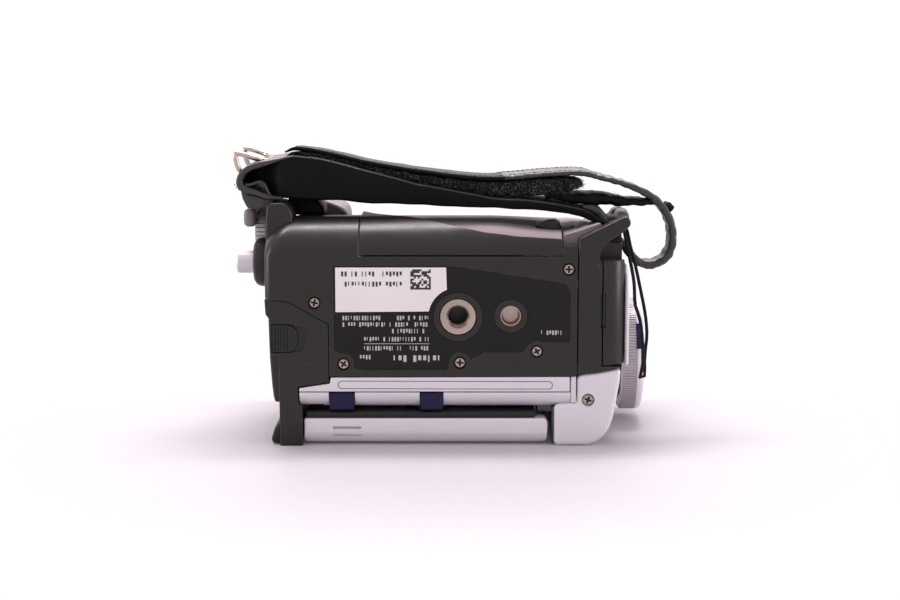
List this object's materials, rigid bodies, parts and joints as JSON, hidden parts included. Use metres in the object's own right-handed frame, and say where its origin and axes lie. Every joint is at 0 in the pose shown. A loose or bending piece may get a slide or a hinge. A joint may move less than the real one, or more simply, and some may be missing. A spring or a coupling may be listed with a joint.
{
  "type": "tape camcorder",
  "caption": "Compact tape camcorder with a leather hand strap, flip-out screen, sliding viewfinder and cassette door, lying on its screen side.",
  "frame": {"origin": "under the middle of the camcorder, on the plane it rests on", "axes": "+X forward out of the lens, +Y towards the camcorder's top, +Z towards its grip side, which faces up; the tripod socket faces -Y"},
  "size_m": [0.1371, 0.0802, 0.0908],
  "materials": {
    "casing_grey": "satin grey-brown casing paint",
    "charcoal_plate": "satin charcoal moulding",
    "silver_paint": "satin silver paint on plastic",
    "grip_grey": "satin mid-grey paint",
    "black_plastic": "black moulded plastic",
    "screen_frame_grey": "grey moulded frame",
    "screen_black": "dark glossy screen",
    "label_white": "pale printed film",
    "navy_plastic": "glossy navy pads",
    "nickel": "worn nickel plate",
    "chrome_wire": "bright wire",
    "rubber": "black rubber",
    "strap_leather": "black grained leather",
    "hook_fabric": "black hook and loop tape",
    "cord_fabric": "black braided cord",
    "lens_glass": "coated dark lens",
    "board_green": "green circuit board",
    "chassis_steel": "pressed steel"
  },
  "bodies": {
    "body": {"battery_terminal_plate": "black_plastic", "door_hinge_pin": "chassis_steel", "front_band": "casing_grey", "front_housing": "silver_paint", "front_panel": "silver_paint", "grip_front_plate": "grip_grey", "head_drum": "chassis_steel", "lens_block": "black_plastic", "lens_glass_front": "lens_glass", "lens_ring": "silver_paint", "main_board": "board_green", "main_casing": "casing_grey", "microphone_grille": "black_plastic", "navy_insert": "navy_plastic", "pin_hole_cup": "nickel", "rating_label": "label_white", "rear_cover": "casing_grey", "rear_strap_lug": "casing_grey", "record_button_ring": "black_plastic", "screen_hinge_arm": "silver_paint", "screw_front": "nickel", "screw_low_front": "nickel", "screw_low_middle": "nickel", "screw_low_rear": "nickel", "screw_rear": "nickel", "screw_silver_corner": "nickel", "side_shell": "silver_paint", "side_trim_strip": "silver_paint", "strap_band": "strap_leather", "strap_buckle": "chrome_wire", "strap_hook_tape": "hook_fabric", "strap_pad": "strap_leather", "strap_tongue": "strap_leather", "tape_chassis": "chassis_steel", "terminal_block": "black_plastic", "top_cover": "silver_paint", "tripod_socket": "nickel", "underside_plate": "charcoal_plate", "viewfinder_sleeve": "silver_paint", "wrist_cord": "cord_fabric"},
    "screen": {"screen_back_shell": "silver_paint", "screen_inner_frame": "screen_frame_grey", "screen": "screen_black"},
    "viewfinder": {"viewfinder_tube": "black_plastic", "eyecup": "rubber", "eyepiece_lens": "lens_glass"},
    "cassette_door": {"cassette_door": "casing_grey", "grip_plate": "grip_grey", "cassette_carriage": "chassis_steel"},
    "eject_lever": {"eject_lever": "black_plastic"},
    "zoom_lever": {"zoom_lever": "silver_paint"},
    "photo_button": {"photo_button": "silver_paint"},
    "record_button": {"record_button": "silver_paint"},
    "mode_dial": {"mode_dial": "silver_paint"},
    "joystick": {"joystick": "black_plastic"},
    "menu_button": {"menu_button": "black_plastic"},
    "battery_release": {"battery_release_slider": "black_plastic"},
    "battery": {"battery_pack": "casing_grey"},
    "jack_cover": {"jack_cover": "casing_grey"}
  },
  "joints": [
    {"name": "screen_swing", "type": "hinge", "parent": "body", "child": "screen", "pos_m": [0.02435, -0.0395, 0.00435], "axis": [0, -1, 0], "range_deg": [0, 90]},
    {"name": "viewfinder_slide", "type": "slide", "parent": "body", "child": "viewfinder", "axis": [-1, 0, 0], "range_m": [0, 0.01]},
    {"name": "cassette_door_swing", "type": "hinge", "parent": "body", "child": "cassette_door", "pos_m": [0.0008, 0.0268, 0.0662], "axis": [-1, 0, 0], "range_deg": [0, 30], "deforming": ["strap_pad", "strap_hook_tape", "strap_band", "strap_tongue"]},
    {"name": "eject_slide", "type": "slide", "parent": "cassette_door", "child": "eject_lever", "axis": [1, 0, 0], "range_m": [0, 0.002], "stiffness_N_per_m": 200},
    {"name": "zoom_turn", "type": "hinge", "parent": "body", "child": "zoom_lever", "pos_m": [-0.0432, 0.0365, 0.052], "axis": [0, 1, 0], "range_deg": [-15, 15], "stiffness_Nm_per_rad": 0.02},
    {"name": "photo_press", "type": "slide", "parent": "body", "child": "photo_button", "axis": [0, -1, 0], "range_m": [0, 0.0008], "stiffness_N_per_m": 300},
    {"name": "record_press", "type": "slide", "parent": "body", "child": "record_button", "axis": [1, 0, 0], "range_m": [0, 0.001], "stiffness_N_per_m": 300},
    {"name": "mode_turn", "type": "hinge", "parent": "body", "child": "mode_dial", "pos_m": [-0.0607, -0.0055, 0.0635], "axis": [1, 0, 0], "range_deg": [0, 90]},
    {"name": "joystick_press", "type": "slide", "parent": "body", "child": "joystick", "axis": [1, 0, 0], "range_m": [0, 0.0006], "stiffness_N_per_m": 300},
    {"name": "menu_press", "type": "slide", "parent": "body", "child": "menu_button", "axis": [0, 0, 1], "range_m": [0, 0.0006], "stiffness_N_per_m": 300},
    {"name": "battery_release_slide", "type": "slide", "parent": "body", "child": "battery_release", "axis": [1, 0, 0], "range_m": [0, 0.002], "stiffness_N_per_m": 200},
    {"name": "battery_slide", "type": "slide", "parent": "body", "child": "battery", "axis": [-1, 0, 0], "range_m": [0, 0.02]},
    {"name": "jack_cover_swing", "type": "hinge", "parent": "body", "child": "jack_cover", "pos_m": [0.0503, -0.0385, 0.041], "axis": [0, 0, 1], "range_deg": [0, 100]}
  ]
}
